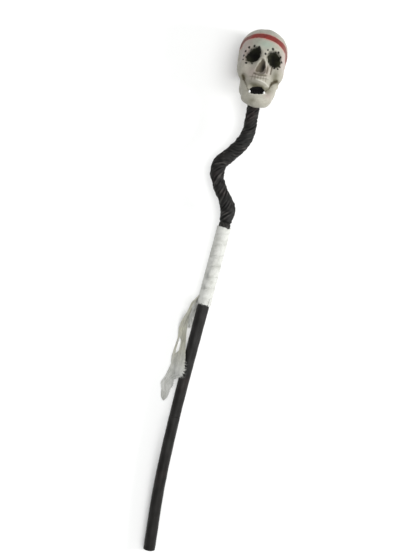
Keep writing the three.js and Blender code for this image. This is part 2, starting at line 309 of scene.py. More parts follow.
def twist_marks(travelled, angle):
    """How much painted highlight (patchy, on the fold tops and the collar ribs) and painted shade (in the
    fold valleys, between the collar ribs and in the collar groove) each place of the twisted section gets,
    from 0 to 1.
    """
    height = folds(travelled, angle)
    y = np.interp(travelled, TRAVEL, LINE[:, 1])
    collar = 1 - smoothstep(COLLAR_TOP_Y, RIDGES_FROM_Y, y)
    ribs = np.cos(COLLAR_RIBS * angle)
    patches = smoothstep(-0.6, 1.2, ripples(travelled, angle, 9, 14, (10, 45), (-4, 4), True))
    # painted highlight: the fold tops lighter in patches, and the collar's rib tops lighter
    highlight_and_wear = smoothstep(0.1, 1.2, height) * (0.15 + 0.85 * patches)
    highlight_and_wear = highlight_and_wear * (1 - collar) + collar * (0.3 + 0.3 * ribs)
    # painted shade in the fold valleys, between the collar ribs and in the collar groove
    crease_shade = smoothstep(-0.2, -1.0, height) * (1 - collar) + collar * smoothstep(0.2, -0.9, ribs)
    return np.clip(highlight_and_wear, 0, 1), np.clip(np.maximum(crease_shade, collar_groove(y, angle, 1.8)), 0, 1)


def black_shader(name, twisted):
    shader = Shader(name, 0.5, Specular_IOR_Level=0.16 if twisted else 0.13)
    place_of = shader.place()
    blotch = shader.noise(place_of, 28, 5)
    fine = shader.noise(place_of, 420, 4, 0.6)
    dark = shader.mix(blotch, (0.006, 0.006, 0.0055), (0.013, 0.012, 0.011))
    tint = shader.noise(place_of, 16, 2)
    dark = shader.mix(shader.span(tint, 0.55, 0.72, 0, 0.6), dark, (0.020, 0.012, 0.011))
    dark = shader.mix(shader.span(tint, 0.42, 0.30, 0, 0.6), dark, (0.011, 0.014, 0.012))
    # painted highlight on the twisted section's fold tops; random lighter wear on the straight shafts
    second_tone = shader.math("MULTIPLY", shader.attribute("highlight_and_wear"), shader.span(fine, 0.3, 0.7, 0.55, 1), True)
    colour = shader.mix(second_tone, dark, (0.070, 0.065, 0.060) if twisted else (0.020, 0.019, 0.018))
    # painted shade in the twisted section's fold valleys
    shader.colour(shader.mix(shader.attribute("crease_shade"), colour, (0.002, 0.002, 0.0018)))
    rough = (0.50, 0.66) if twisted else (0.34, 0.50)
    shader.put(shader.surface, "Roughness", shader.span(blotch, 0.3, 0.7, *rough))
    cloth = shader.stretched(shader.vector("cloth"), (1, 0.16, 1))
    grain = shader.noise(cloth, 0.9 if twisted else 0.5, 5, 0.62)
    normal = shader.bump(grain, 0.0009 if twisted else 0.0005, 0.7)
    shader.normal(shader.bump(fine, 0.0003, 0.3, normal))
    return shader


def shaft_piece(name, from_y, to_y, step, sides, radius_of, twisted):
    points, faces, travelled, angle = tube(from_y, to_y, step, sides, radius_of, 0.5)
    if twisted:
        highlight_and_wear, crease_shade = twist_marks(travelled, angle)
    else:
        # the straight shafts get random lighter patches of wear and no painted shade
        highlight_and_wear = np.clip(0.3 + 0.3 * ripples(travelled, angle, 21, 9, (18, 90), (-3, 3), True), 0, 1)
        crease_shade = 0 * travelled
    turned = angle + (TURN * travelled / TWIST_LEAD if twisted else 0)
    cloth = np.stack([14 * np.cos(turned), travelled, 14 * np.sin(turned)], -1)
    return make_piece(name + "_look", place(points), faces, black_shader(name, twisted),
                      [name], {"highlight_and_wear": highlight_and_wear, "crease_shade": crease_shade}, {"cloth": cloth}, 42)


def straight_radius(radii, seed):
    mean = radius_along(radii)

    def radius_of(travelled, angle):
        return mean(travelled) + 0.10 * ripples(travelled, angle, seed, 10, (12, 60), (-4, 4), True)
    return radius_of


shaft_piece("upper_shaft", UPPER_JOINT_Y + PART_GAP / 2, BENT_TOP_Y, 1.25, 120, bent_radius, True)
shaft_piece("middle_shaft", PLUG_JOINT_Y + PART_GAP / 2, UPPER_JOINT_Y - PART_GAP / 2, 4, 72,
            straight_radius(MIDDLE_RADII, 31), False)
shaft_piece("lower_shaft", 0, PLUG_JOINT_Y - PART_GAP / 2, 4, 72, straight_radius(LOWER_RADII, 32), False)


# Skull

SKULL_AT = np.array([16.5, 1142.5, 61.5])
SKULL_CELL = 1.25
SKULL_BOX = [(-60, 60), (-128, 58), (-70, 62)]
NECK_SOCKET_RADIUS = 14.4
FAR = 20.0


def ell(centre, radii, blend=0, mirror=False, shift=0, turn=0):
    return "ellipsoid", (centre, radii), blend, mirror, shift, turn


def rod(start, end, first, last, blend=0, mirror=False, shift=0):
    return "rod", (start, end, first, last), blend, mirror, shift, 0


MASSES = [
    ell((-1.4, 5, -4), (53.5, 48.5, 60)),
    ell((-1.4, -18, -9), (53, 44, 53), 10),
    ell((0, -10, 24), (42, 34, 32), 14),
    rod((14, -3, 48), (33, -10, 39), 6, 5, 12, True),
    ell((32, -48, 22), (18, 23, 24), 14, True),
    rod((40, -44, 18), (45, -36, -10), 8, 6, 10, True),
    ell((0, -36, 38), (15, 28, 20), 14),
    ell((0, -61, 28), (28, 25, 29), 14),
    ell((1.6, -72, 8), (34, 34, 24), 8),
    rod((1.6, -30, -9), (1.6, -84, -9.5), 24, 19, 8),
    ell((0, -105, 28), (30.5, 20, 26), 4, False, 4),
    rod((20, -103, 33), (34, -70, 19), 12, 8, 5, True, 3),
    rod((20, -104, 20), (27, -89, -4), 13, 9, 8, True, 3),
    rod((-16, -84, 28), (19, -84, 28), 11, 11, 6),
    ell((32, -76, 5), (8, 20, 16), 6, True, 2),
    rod((28, -89, -4), (35, -60, -8), 9, 7, 8, True, 2),
]
SOCKET = ell((23.5, -19, 52), (17.5, 15.5, 23), 8, True, 0, -0.5)
NOSE = rod((-1, -31, 58), (0.5, -48, 56), 5, 10, 5)
MOUTH = rod((-5, -94, 52), (8.5, -91.5, 52), 7.5, 7.5, 2)
MOUTH_DEEP = rod((-5, -94, 40), (8.5, -91.5, 40), 7.5, 7.5, 4)
HOLLOWS = [
    SOCKET, NOSE, ell((63, -12, 26), (15, 24, 22), 8, True), MOUTH, MOUTH_DEEP,
    rod((34, -66, 41), (25, -82, 49), 4.5, 4.5, 5, True),
    rod((25, -82, 49), (16, -92, 53), 4.5, 4, 5, True, 1),
]
DARK_TEETH = [ell((x, -98.5, 43), (2.3, 5.5, 4), 1) for x in (-8, -3, 2, 7, 12)]
WHITE_TEETH = [ell((-14, -97.5, 48), (1.9, 2.9, 3.4), 1), ell((17.6, -93.5, 46), (2.0, 3.0, 3.6), 1)]

# Raised and sunk lines on the face: points to the right and towards the crown, height, width
LINES = [
    ([(-5, -71), (4.3, -71.9), (15, -73.6), (24, -76.5)], 1.3, 1.3),
    ([(-13, -59), (0, -61.5), (13, -59)], -0.9, 1.8),
    ([(14, -35.8), (14, -53)], -1.3, 1.1),
    ([(22.8, -34), (22.7, -52)], -1.3, 1.2),
    ([(18.3, -38), (18.3, -52)], 0.7, 1.2),
    ([(9, -20), (10.5, -37)], 1.2, 1.0),
    ([(13.5, -22), (14.5, -38)], 1.3, 0.9),
    ([(-20, -66), (0, -67.5), (20, -64.5)], -0.35, 0.9),
    ([(-15, -62), (-15.5, -72)], -0.4, 0.8),
    ([(-9, -62), (-9.2, -71)], -0.4, 0.8),
    ([(-3, -62), (-3, -70.5)], -0.4, 0.8),
    ([(3, -62), (3.2, -71)], -0.4, 0.8),
    ([(9, -62), (9.5, -71.5)], -0.4, 0.8),
    ([(15, -62), (16, -72)], -0.4, 0.8),
    ([(-13, -104.2), (-8.6, -104), (17.3, -98.3), (22, -95)], 1.0, 1.3),
    ([(-7.6, -50), (-8.2, -52.5)], -1.6, 2.0),
]
DOTS = [
    (-24.1, -0.8, 1.9), (-13.3, -4.4, 1.9), (-34.6, -4.6, 2.0), (-40.8, -12.7, 1.9), (-43.0, -21.0, 1.8),
    (-42.3, -30.2, 1.3), (-34.0, -38.2, 2.2), (-21.2, -37.5, 1.4), (16.3, -0.2, 2.4), (6.0, -5.0, 1.5),
    (2.8, -14.0, 2.1), (29.8, -2.9, 1.9), (36.4, -10.5, 1.8), (41.2, -18.7, 1.8), (39.5, -30.0, 1.7),
    (27.8, -36.5, 2.0), (35.5, -36.8, 1.6),
]
LEFT_GROOVE = [(-35.5, -64), (-33, -68), (-25.0, -81.8), (-17.3, -94.2)]
RIGHT_GROOVE = [(40, -62.5), (34, -64.5), (29.5, -68), (27.6, -76), (25.5, -83.2), (19.5, -89)]
BAND_PLANE = np.array([-0.0695, -1.0, 0.514, -0.87])
BAND_HALF, BAND_WIDENS = 7.4, 0.022

# Outlines of the dark paint, seen from the front
LEFT_SOCKET_PAINT = [
    (-28.2, -6.5), (-19, -2.5), (-12.8, 0), (-8.2, -8), (-6.9, -20.9), (-12, -30), (-22.8, -35.8),
    (-35.5, -31.5), (-37.5, -20),
]
RIGHT_SOCKET_PAINT = [
    (12.3, -6.5), (24, -2.5), (34.8, -10), (39, -20.9), (37.8, -32.2), (29.4, -35), (17.2, -32),
    (9.5, -22), (8.6, -12),
]
NOSE_PAINT = [
    (-0.3, -24.5), (6.9, -31), (9.3, -42.5), (6.5, -51.5), (0.6, -53.6), (-9.6, -51.8), (-10.6, -46.5),
    (-6.2, -35.4),
]

# Soft patches of colour, seen from the front: strength, place, and reach to the side and upwards
# painted shade, darkest in the depths of the eye sockets and on the right of the nose hole
PIT_SHADE = [(0.95, -19, -16, 13, 13), (0.9, 22, -16, 8, 11), (1, 4.5, -42, 5.5, 11)]
# painted shade: under the upper jaw, in the cheek hollows, at the ends of the jaw gaps, under and beside the
# nose and in the chin's hollow
SHADE_PATCHES = [
    (0.9, 35, -54, 8, 11), (0.7, -5, -116, 7, 5), (1.2, 4, -83, 17, 4.5), (1.1, -34, -67, 6, 5),
    (0.9, -8, -51, 3.2, 3.2), (0.6, 2, -58, 15, 2.5), (0.7, 42, -63, 10, 3.5), (0.7, 24, -86, 7, 7),
    (0.5, -12, -79, 14, 5), (0.5, -1, -66.5, 18, 2), (0.5, 14, -45, 4, 10),
]
FLUSH = [
    (0.8, -40, -5, 10, 30), (0.8, 46, -10, 9, 26), (0.7, -14, -58, 16, 12), (0.8, 12, -47, 9, 14),
    (0.6, 26, -98, 8, 8),
]
MINT = [(0.9, 0, 6, 17, 9)]

# The same on the wound gauze: strength, distance beside its left front, height, and reach
GAUZE_GREY = [(0.75, 0, 637, 3, 11), (0.7, 0.5, 610, 2.6, 6), (0.3, -3, 668, 2, 16)]


def ellipsoid_distance(data, turn, x, u, f):
    centre, radii = data
    dx, du, df = x - centre[0], u - centre[1], f - centre[2]
    a = (dx * math.cos(turn) + du * math.sin(turn)) / radii[0]
    b = (du * math.cos(turn) - dx * math.sin(turn)) / radii[1]
    c = df / radii[2]
    size = np.sqrt(a * a + b * b + c * c)
    slope = np.sqrt((a / radii[0]) ** 2 + (b / radii[1]) ** 2 + (c / radii[2]) ** 2) + 1e-9
    return size * (size - 1) / slope


def rod_distance(data, x, u, f):
    start, end = np.array(data[0], float), np.array(data[1], float)
    line = end - start
    ox, ou, of = x - start[0], u - start[1], f - start[2]
    share = np.clip((ox * line[0] + ou * line[1] + of * line[2]) / (line @ line), 0, 1)
    gap = np.sqrt((ox - share * line[0]) ** 2 + (ou - share * line[1]) ** 2 + (of - share * line[2]) ** 2)
    return gap - data[2] - share * (data[3] - data[2])


def form_distance(form, x, u, f):
    kind, data, _, mirror, shift, turn = form
    side = np.abs(x - shift) if mirror else x - shift
    if kind == "ellipsoid":
        return ellipsoid_distance(data, turn, side, u, f)
    return rod_distance(data, side, u, f)


def blended(a, b, blend):
    overlap = np.maximum(blend - np.abs(a - b), 0)
    return np.minimum(a, b) - (overlap * overlap / (4 * blend) if blend else 0)


neck_ends = along_shaft(travelled_at(np.array([990, 1086])))[0] - SKULL_AT
NECK_SOCKET = rod(neck_ends[0], neck_ends[1], NECK_SOCKET_RADIUS, NECK_SOCKET_RADIUS, 0.6)


def skull_distance(x, u, f):
    distance = np.full(np.broadcast(x, u, f).shape, 1e9)
    for form in MASSES:
        distance = blended(distance, form_distance(form, x, u, f), form[2])
    for form in HOLLOWS:
        distance = -blended(-distance, form_distance(form, x, u, f), form[2])
    for form in DARK_TEETH + WHITE_TEETH:
        distance = blended(distance, form_distance(form, x, u, f), form[2])
    return -blended(-distance, form_distance(NECK_SOCKET, x, u, f), NECK_SOCKET[2])


def surface_net(distance, box, cell):
    """Quads where a distance is zero, one vertex to each cell that the surface crosses."""
    axes = [np.arange(low, high + cell, cell) for low, high in box]
    grid = np.stack(np.meshgrid(*axes, indexing="ij"), -1)
    values = distance(grid[..., 0], grid[..., 1], grid[..., 2])
    number = np.arange(values.size).reshape(values.shape)
    sums = np.zeros((values.size, 3))
    counts = np.zeros(values.size)
    faces = []
    for axis in range(3):
        steps = np.zeros(3, int)
        steps[axis] = 1
        low = tuple(slice(0, -1) if a == axis else slice(None) for a in range(3))
        high = tuple(slice(1, None) if a == axis else slice(None) for a in range(3))
        where = np.argwhere((values[low] < 0) != (values[high] < 0))
        here, there = tuple(where.T), tuple((where + steps).T)
        share = values[here] / (values[here] - values[there])
        points = grid[here] + (grid[there] - grid[here]) * share[:, None]
        corners = []
        for second, third in ((0, 0), (1, 0), (1, 1), (0, 1)):
            back = where.copy()
            back[:, (axis + 1) % 3] -= second
            back[:, (axis + 2) % 3] -= third
            key = number[tuple(back.T)]
            for part in range(3):
                sums[:, part] += np.bincount(key, points[:, part], values.size)
            counts += np.bincount(key, minlength=values.size)
            corners.append(key)
        quad = np.stack(corners, 1)
        outward = values[here] >= 0
        quad[outward] = quad[outward][:, ::-1]
        faces.append(quad)
    faces = np.concatenate(faces)
    used, faces = np.unique(faces, return_inverse=True)
    return sums[used] / counts[used, None], faces.reshape(-1, 4)


def slope_of(distance, points, step=0.4):
    parts = []
    for axis in range(3):
        offset = np.zeros(3)
        offset[axis] = step
        ahead, behind = (points + offset).T, (points - offset).T
        parts.append((distance(*ahead) - distance(*behind)) / (2 * step))
    return np.stack(parts, -1)


def line_gap(line, x, u):
    """Distance in plan from each point to a line through points."""
    best = np.full(x.shape, 1e9)
    for (ax, au), (bx, bu) in zip(line, line[1:]):
        dx, du = bx - ax, bu - au
        share = np.clip(((x - ax) * dx + (u - au) * du) / (dx * dx + du * du), 0, 1)
        best = np.minimum(best, np.hypot(x - ax - share * dx, u - au - share * du))
    return best


def outline_gap(outline, x, u):
    """Distance in plan from each point to a closed outline, below zero inside it."""
    closed = outline + outline[:1]
    inside = np.zeros(x.shape, bool)
    for (ax, au), (bx, bu) in zip(closed, closed[1:]):
        crosses = (au > u) != (bu > u)
        inside ^= crosses & (x < ax + (u - au) * (bx - ax) / (bu - au + 1e-9))
    return np.where(inside, -1, 1) * line_gap(closed, x, u)


def patches(spots, x, u):
    """Sum of soft round patches."""
    return sum(share * np.exp(-((x - at_x) / size_x) ** 2 - ((u - at_u) / size_u) ** 2)
               for share, at_x, at_u, size_x, size_u in spots)


points, faces = surface_net(skull_distance, SKULL_BOX, SKULL_CELL)
for _ in range(2):
    slope = slope_of(skull_distance, points)
    steep = np.sum(slope * slope, -1, keepdims=True) + 1e-6
    points = points - np.clip(skull_distance(*points.T)[:, None] / steep, -1, 1) * slope
normal = slope_of(skull_distance, points)
normal /= np.linalg.norm(normal, axis=-1, keepdims=True) + 1e-9
x, u, f = points.T
face_side = smoothstep(18, 30, f) * smoothstep(-0.1, 0.35, normal[:, 2])
relief = np.zeros(len(x))
for line, height, width in LINES:
    relief += height * np.exp(-(line_gap(line, x, u) / width) ** 2) * face_side
# recessed lines get painted shade and raised lines a painted highlight
sunk_line_shade, raised_line_highlight = np.clip(-1.6 * relief, 0, 1), np.clip(relief, 0, 1)
relief += 0.25 * ripples(x + 0.4 * f, u, 41, 16, (14, 40), (14, 40))
# darker where nearby surface encloses a place: a dark wash in the recesses and painted shade
recess_wash_and_shade = 1 - np.clip(skull_distance(*(points + 5 * normal).T) / 5, 0, 1)
recess_wash_and_shade += 1 - np.clip(skull_distance(*(points + 12 * normal).T) / 12, 0, 1)

dots = np.full(len(x), FAR)
for at_x, at_u, radius in DOTS:
    dots = np.minimum(dots, np.hypot(x - at_x, u - at_u) - 1.2 * radius)
dots = np.where(f > 22, dots, FAR)
in_front = f > 20
sockets = np.minimum(outline_gap(LEFT_SOCKET_PAINT, x, u), outline_gap(RIGHT_SOCKET_PAINT, x, u))
sockets = np.where(in_front, sockets, FAR)
nose = np.where(in_front, outline_gap(NOSE_PAINT, x, u), FAR)
mouth = np.minimum(form_distance(MOUTH, x, u, f), form_distance(MOUTH_DEEP, x, u, f))
narrow = smoothstep(-66, -84, u)
# painted shade in the gaps between the upper and lower jaw, broad at the top and narrower below
groove_shade = np.minimum(line_gap(LEFT_GROOVE, x, u), line_gap(RIGHT_GROOVE, x, u)) + 2.2 * narrow - 1.8
groove_shade = np.where(in_front, groove_shade, FAR)
white = np.min([form_distance(form, x, u, f) for form in WHITE_TEETH], axis=0)
plane = BAND_PLANE[0] * x + BAND_PLANE[1] * u + BAND_PLANE[2] * f + BAND_PLANE[3]
plane /= np.linalg.norm(BAND_PLANE[:3])
fading = 3.5 * smoothstep(44, 54, np.abs(x + 1)) * smoothstep(-4, 12, -plane)
band = np.abs(plane) - BAND_HALF - BAND_WIDENS * x + fading
# painted shade patches, on the face only
patch_shade = np.where(f > 15, patches(SHADE_PATCHES, x, u), 0)

placed = place(points + relief[:, None] * normal + SKULL_AT)
placed[:, 2] = np.maximum(placed[:, 2], 0)

skull = Shader("skull_paint", 0.5, Specular_IOR_Level=0.2)
where_on = skull.place()
blotch = skull.noise(where_on, 26, 4)
cloudy = skull.noise(where_on, 75, 4, 0.6)
grain = skull.noise(where_on, 300, 4, 0.6)
specks = skull.noise(where_on, 900, 2, 0.5)
edge_noise = skull.math("MULTIPLY", skull.math("SUBTRACT", skull.noise(where_on, 190, 4, 0.6), 0.5), 5.0)
rough_edge = skull.math("MULTIPLY", skull.math("SUBTRACT", skull.noise(where_on, 150, 4, 0.65), 0.5), 9.0)


def painted(name, noise, low, high):
    """Share of a paint whose edge is at a distance, unevenly."""
    return skull.span(skull.math("ADD", skull.attribute(name), noise), high, low)


colour = skull.mix(blotch, (0.285, 0.272, 0.225), (0.355, 0.345, 0.295))
colour = skull.mix(skull.span(cloudy, 0.40, 0.66, 0, 0.35), colour, (0.24, 0.225, 0.18))
colour = skull.mix(skull.span(grain, 0.42, 0.66, 0, 0.3), colour, (0.23, 0.215, 0.175))
colour = skull.mix(skull.attribute("flush"), colour, (0.335, 0.275, 0.25))
colour = skull.mix(skull.attribute("mint"), colour, (0.275, 0.325, 0.27))
# dark wash and painted shade in the recesses
colour = skull.mix(skull.span(skull.attribute("recess_wash_and_shade"), 0.5, 1.5, 0, 0.75), colour, (0.11, 0.098, 0.062))
# painted shade in the recessed lines, painted highlight on the raised lines
colour = skull.mix(skull.math("MULTIPLY", skull.attribute("sunk_line_shade"), 0.85), colour, (0.075, 0.062, 0.042))
colour = skull.mix(skull.math("MULTIPLY", skull.attribute("raised_line_highlight"), 0.6), colour, (0.50, 0.49, 0.43))
# painted shade in soft olive patches
patch_shade_share = skull.math("MULTIPLY", skull.attribute("patch_shade"), skull.span(blotch, 0.3, 0.65, 0.6, 0.9), True)
colour = skull.mix(patch_shade_share, colour, (0.105, 0.097, 0.058))
halo = painted("band", edge_noise, 0.0, 3.6)
colour = skull.mix(skull.math("MULTIPLY", halo, 0.65), colour, (0.42, 0.215, 0.18))
red = skull.mix(skull.span(cloudy, 0.35, 0.65), (0.130, 0.015, 0.012), (0.195, 0.027, 0.021))
# the band's red turns browner towards the sides and the back
red = skull.mix(skull.attribute("second_tone"), red, (0.115, 0.045, 0.032))
colour = skull.mix(painted("band", skull.math("MULTIPLY", edge_noise, 0.6), -1.6, 1.0), colour, red)
olive = skull.mix(skull.span(cloudy, 0.35, 0.7), (0.007, 0.007, 0.004), (0.028, 0.029, 0.014))
# painted shade deepens the middle of each socket's black paint
olive = skull.mix(skull.attribute("pit_shade"), olive, (0.002, 0.002, 0.0015))
colour = skull.mix(painted("sockets", rough_edge, -1.6, 2.4), colour, olive)
# the nose hole's paint, with its right side in painted shade
bone = skull.mix(skull.attribute("pit_shade"), (0.105, 0.090, 0.066), (0.010, 0.008, 0.006))
colour = skull.mix(painted("nose", edge_noise, -1.6, 1.4), colour, bone)
# painted shade in the jaw gaps
colour = skull.mix(painted("groove_shade", edge_noise, -1.2, 3.0), colour, (0.045, 0.036, 0.018))
colour = skull.mix(painted("mouth", edge_noise, 1.4, 2.6), colour, (0.004, 0.0035, 0.003))
dot = painted("dots", skull.math("MULTIPLY", edge_noise, 0.35), -0.7, 0.9)
colour = skull.mix(dot, colour, (0.012, 0.011, 0.008))
colour = skull.mix(painted("white", 0.0, 0.4, 1.0), colour, (0.72, 0.72, 0.70))
skull.colour(colour)
matt = painted("sockets", rough_edge, -1.6, 2.4)
matt = skull.math("MAXIMUM", matt, painted("mouth", edge_noise, 1.4, 2.6))
matt = skull.math("MAXIMUM", matt, painted("nose", edge_noise, -1.6, 1.4))
gloss = skull.span(blotch, 0.3, 0.7, 0.40, 0.54)
skull.put(skull.surface, "Roughness", skull.math("ADD", skull.math("MULTIPLY", matt, 0.45), gloss, True))
skull.normal(skull.bump(specks, 0.0002, 0.3, skull.bump(grain, 0.0004, 0.4)))

# share of browner red on the band, rising towards both sides and towards the back
second_tone = smoothstep(30, 50, np.abs(x)) * 0.8 + smoothstep(10, -30, f) * 0.4
make_piece("skull_look", placed, faces, skull, ["skull"], {
    "dots": dots, "sockets": sockets, "nose": nose, "mouth": mouth, "groove_shade": groove_shade, "white": white,
    "band": band, "patch_shade": np.clip(patch_shade, 0, 1), "mint": patches(MINT, x, u),
    "flush": np.clip(patches(FLUSH, x, u), 0, 0.8), "pit_shade": np.clip(patches(PIT_SHADE, x, u), 0, 1),
    "recess_wash_and_shade": recess_wash_and_shade, "second_tone": np.clip(second_tone, 0, 1), "sunk_line_shade": sunk_line_shade, "raised_line_highlight": raised_line_highlight,
})


# Gauze: a strip wound round the shaft, and its two torn tails

WRAP_FROM_Y, WRAP_TO_Y, WRAP_PITCH, STRIP_WIDTH = 571, 750, 25, 50
WRAP_INSIDE, LAYER = 14.25, 1.15
LONG_TAIL = [
    (588, (-9.9, 43.7), (-12, 38), (-12.1, 33), (-10.5, 28.3)),
    (580, (-15, 41), (-16.5, 37), (-16, 31), (-13, 27)),
    (570, (-24, 33), (-21.5, 32), (-19, 28), (-15, 24)),
    (551, (-28.5, 22), (-25.5, 21), (-22, 19), (-19, 17)),
    (526, (-37, 13), (-32, 12), (-27, 11), (-22.5, 11)),
    (507, (-40.5, 7), (-34, 6), (-28, 6), (-21.5, 7)),
    (484, (-38.5, 3), (-31, 2), (-24, 3), (-19, 12)),
    (462, (-41.5, 1.8), (-29, 6), (-21, 28), (-14.5, 42)),
    (440, (-43, 1.8), (-30, 6), (-22, 28), (-10, 46)),
    (420, (-41.5, 1.8), (-31, 5), (-23, 30), (-5.5, 47)),
    (404, (-45, 1.8), (-32, 4), (-21, 26), (-8, 46)),
    (396, (-47, 1.8), (-37, 3), (-28, 13), (-19, 31)),
    (388, (-50, 1.8), (-41, 1.8), (-33, 3), (-26, 12)),
    (374, (-55, 1.8), (-45, 1.8), (-35, 1.8), (-26, 3)),
    (360, (-50.5, 1.8), (-43, 1.8), (-36, 1.8), (-30, 1.8)),
    (346, (-48, 1.8), (-43, 1.8), (-38, 1.8), (-33, 1.8)),
    (337, (-42.5, 1.8), (-41, 1.8), (-39.5, 1.8), (-38, 1.8)),
]
SHORT_TAIL = [
    (590, (-11.8, 32.5), (-8.9, 25.9)),
    (576, (-19, 31), (-10.8, 20)),
    (560, (-21, 26), (-9.5, 13)),
    (548, (-21.5, 20), (-9.2, 9)),
    (528, (-22.5, 12), (-10.5, 6)),
    (512, (-21, 6), (-12, 4)),
]


def resample(points, count, axis=0):
    """Points on a smooth curve through the given ones, spaced evenly by number."""
    points = np.moveaxis(np.asarray(points, float), axis, 0)
    padded = np.concatenate([2 * points[:1] - points[1:2], points, 2 * points[-1:] - points[-2:-1]])
    at = np.linspace(0, len(points) - 1, count)
    start = np.minimum(at.astype(int), len(points) - 2)
    share = (at - start).reshape(-1, *[1] * (points.ndim - 1))
    a, b, c, d = (padded[start + step] for step in range(4))
    mixed = b + 0.5 * share * (c - a + share * (2 * a - 5 * b + 4 * c - d + share * (3 * (b - c) + d - a)))
    return np.moveaxis(mixed, 0, axis)


def tail_sheet(stations, rows, columns):
    """Points of a tail as rows down the strip and columns across it, and the distance down the strip."""
    cross = np.array([[(x, y, z) for x, z in line] for y, *line in stations])
    cross = resample(cross, columns, 1)
    middle = cross[:, columns // 2]
    reach = np.concatenate([[0], np.cumsum(np.linalg.norm(np.diff(middle, axis=0), axis=1))])
    by_number = resample(cross, 20 * len(stations), 0)
    number = np.linspace(0, len(stations) - 1, 20 * len(stations))
    distance = np.interp(number, np.arange(len(stations)), reach)
    wanted = np.linspace(0, reach[-1], rows)
    flat = by_number.reshape(len(number), -1)
    sheet = np.stack([np.interp(wanted, distance, flat[:, part]) for part in range(flat.shape[1])], -1)
    return sheet.reshape(rows, columns, 3), wanted


def across(sheet, share):
    """Points of a sheet at a share across each row, from 0 to 1."""
    rows, columns, _ = sheet.shape
    at = np.clip(share, 0, 1) * (columns - 1)
    start = np.minimum(at.astype(int), columns - 2)
    part = (at - start)[..., None]
    row = np.arange(rows)[:, None]
    return sheet[row, start] * (1 - part) + sheet[row, start + 1] * part


def sheet_normal(sheet):
    down = np.gradient(sheet, axis=0)
    side = np.gradient(sheet, axis=1)
    out = np.cross(side, down)
    return out / (np.linalg.norm(out, axis=-1, keepdims=True) + 1e-9)


strip_points, strip_faces, strip_weave, strip_stain, strip_grey = [], [], [], [], []


def add_strip(points, weave, stain, grey=0.0, keep=None):
    rows, columns, _ = points.shape
    faces = quads(rows, columns, False)
    if keep is not None:
        faces = faces[keep.ravel()]
    strip_faces.append(faces + sum(len(part) for part in strip_points))
    strip_points.append(points.reshape(-1, 3))
    strip_weave.append(weave.reshape(-1, 3))
    strip_stain.append(np.broadcast_to(stain, (rows, columns)).ravel())
    strip_grey.append(np.broadcast_to(grey, (rows, columns)).ravel())


# The wound part, from the top down. The half of each turn nearer the skull lies on the turn before.
turns = (WRAP_TO_Y - WRAP_FROM_Y) / WRAP_PITCH + 0.6
theta, w = np.meshgrid(np.linspace(0, TURN * turns, 620), np.linspace(-0.5, 0.5, 42), indexing="ij")
y = WRAP_TO_Y + 7 - WRAP_PITCH * theta / TURN + STRIP_WIDTH * w * 0.93
top_limit = WRAP_TO_Y - 1.2 + 0.8 * ripples(theta, theta, 52, 9, (0.3, 2.2), (1, 9))
low_limit = WRAP_FROM_Y + 1.0 + 1.5 * ripples(theta, theta, 53, 12, (0.12, 1.6), (1, 9))
y = np.where(y > top_limit, top_limit + 0.02 * (y - top_limit), y)
y = np.where(y < low_limit, low_limit + 0.02 * (y - low_limit), y)
angle = theta + 0.8
travelled = travelled_at(y)
radius = WRAP_INSIDE + LAYER * smoothstep(-0.12, 0.10, w) + 0.28
radius += 0.22 * ripples(travelled + 25 * angle / TURN, angle, 54, 22, (6, 22), (-5, 5), True)
radius += 0.12 * ripples(travelled, angle, 55, 26, (2.5, 7), (-9, 9), True)
radius = np.maximum(radius, WRAP_INSIDE + 0.05)
arc = theta * 15.2
beside = 15 * ((angle - 0.54 + math.pi) % TURN - math.pi)
weave = np.stack([arc, STRIP_WIDTH * (w + 0.5), 0 * w], -1)
add_strip(round_shaft(travelled, angle, radius), weave, 0.15, patches(GAUZE_GREY, beside, y))

# The long tail: a thin strand splits off its left edge, and its right edge is torn in teeth
sheet, down = tail_sheet(LONG_TAIL, 230, 61)
y_row = sheet[:, 30, 1]
torn = smoothstep(455, 425, y_row) * smoothstep(352, 368, y_row)
teeth = np.abs(ripples(down, down, 61, 9, (3.5, 14), (4, 15)))
edge = 1 - torn * np.clip(0.06 * teeth, 0, 0.18) - (1 - torn) * 0.015 * teeth
left = 0.012 * np.abs(ripples(down, down, 62, 9, (4, 20), (4, 20)))
gap = 0.5 * smoothstep(488, 478, y_row) * smoothstep(446, 458, y_row)
split = 9
column = np.arange(62)
strand = column[None] / split * (0.15 - 0.03 * gap[:, None])
shift = 0.42 * gap[:, None]
share = 0.15 + shift + (column[None] - split - 1) / (60 - split) * (0.85 - shift)
share = np.where(column[None] <= split, strand, share)
share = left[:, None] + share * (edge - left)[:, None]
tail = across(sheet, share)
folds_on = 0.8 * ripples(share * 45, down[:, None] * 0.25, 63, 12, (7, 18), (14, 60))
folds_on += 0.35 * ripples(share * 45, down[:, None], 64, 16, (3, 8), (6, 16))
ease = smoothstep(0, 25, down)[:, None] * (0.35 + 0.65 * smoothstep(0.0, 0.25, 1 - share))
tail = tail + sheet_normal(tail) * (folds_on * ease * 0.75)[..., None]
tail[..., 2] = np.maximum(tail[..., 2], 0.9)
keep = np.ones((229, 61), bool)
keep[:, split] = gap[1:] < 0.02
yellow = (smoothstep(400, 470, y_row) * 0.75 + 0.1)[:, None] + 0 * share
weave = np.stack([down[:, None] + 0 * share + 900, 45 * share, 0 * share], -1)
add_strip(tail, weave, yellow, 0.0, keep)
long_tail, long_torn = tail, torn

sheet, down = tail_sheet(SHORT_TAIL, 70, 17)
edge = 1 - 0.12 * np.abs(ripples(down, down, 71, 8, (3, 12), (4, 12)))
share = np.linspace(0, 1, 18)[None] * edge[:, None]
tail = across(sheet, share)
folds_on = 0.5 * ripples(share * 14, down[:, None], 72, 10, (4, 12), (8, 25))
tail = tail + sheet_normal(tail) * folds_on[..., None]
tail[..., 2] = np.maximum(tail[..., 2], 0.9)
add_strip(tail, np.stack([down[:, None] + 0 * share + 1300, 14 * share, 0 * share], -1), 0.1)

